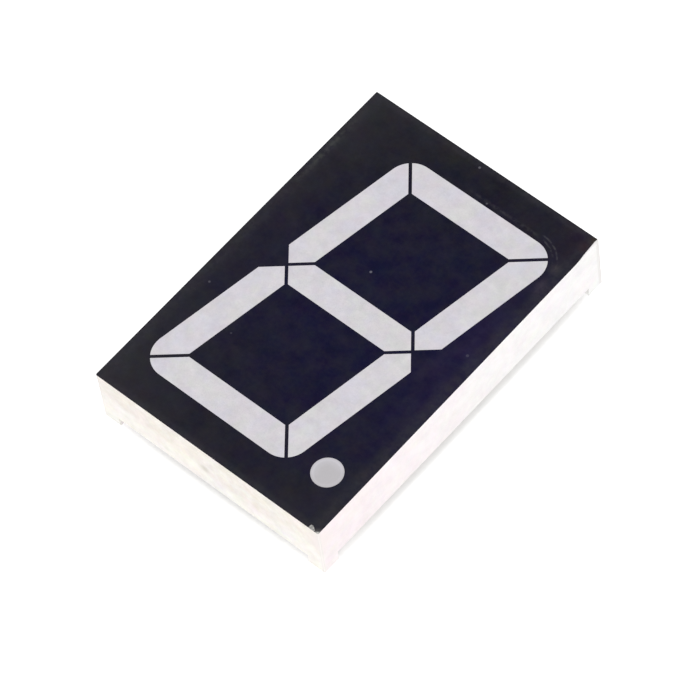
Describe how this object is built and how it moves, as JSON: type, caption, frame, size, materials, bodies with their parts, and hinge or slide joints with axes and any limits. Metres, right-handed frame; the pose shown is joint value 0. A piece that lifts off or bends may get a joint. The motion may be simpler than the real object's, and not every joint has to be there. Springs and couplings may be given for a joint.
{
  "type": "seven segment display",
  "caption": "Seven segment display: white case, black face, slanted light-grey segments flush with it, a round decimal point, and rows of straight pins behind.",
  "frame": {"origin": "under the middle of the body, on the plane through the pins' tips, which is the surface the part stands on", "axes": "+Z out of the black face (up), +Y towards the top of the digit, +X towards the digit's right, the decimal point's side"},
  "size_m": [0.048, 0.07, 0.0153],
  "materials": {
    "housing_plastic": "moulded white plastic, satin, slightly warm",
    "face_ink": "thin black face layer with a faint violet-blue sheen",
    "segment_resin": "milky light-grey resin, cast flush with the face",
    "dot_resin": "milky grey resin, a little darker than the segments",
    "board_laminate": "green glass-filled board",
    "copper": "bare copper tracks and lands",
    "emitter": "cut crystal die",
    "gold_wire": "drawn gold wire",
    "tinned_pin": "dull tin plate on a drawn pin",
    "solder": "smooth solder cone",
    "back_resin": "cast ivory resin, self-levelled"
  },
  "bodies": {
    "root": {"housing": "housing_plastic", "face_film": "face_ink", "segment_a": "segment_resin", "segment_b": "segment_resin", "segment_c": "segment_resin", "segment_d": "segment_resin", "segment_e": "segment_resin", "segment_f": "segment_resin", "segment_g": "segment_resin", "decimal_point": "dot_resin", "circuit_board": "board_laminate", "front_copper": "copper", "back_copper": "copper", "emitters_a": "emitter", "emitters_b": "emitter", "emitters_c": "emitter", "emitters_d": "emitter", "emitters_e": "emitter", "emitters_f": "emitter", "emitters_g": "emitter", "emitters_dot": "emitter", "bond_wires_a": "gold_wire", "bond_wires_b": "gold_wire", "bond_wires_c": "gold_wire", "bond_wires_d": "gold_wire", "bond_wires_e": "gold_wire", "bond_wires_f": "gold_wire", "bond_wires_g": "gold_wire", "bond_wires_dot": "gold_wire", "pin_1": "tinned_pin", "pin_2": "tinned_pin", "pin_3": "tinned_pin", "pin_4": "tinned_pin", "pin_5": "tinned_pin", "pin_6": "tinned_pin", "pin_7": "tinned_pin", "pin_8": "tinned_pin", "pin_9": "tinned_pin", "pin_10": "tinned_pin", "solder_joints": "solder", "back_resin": "back_resin"}
  },
  "joints": []
}
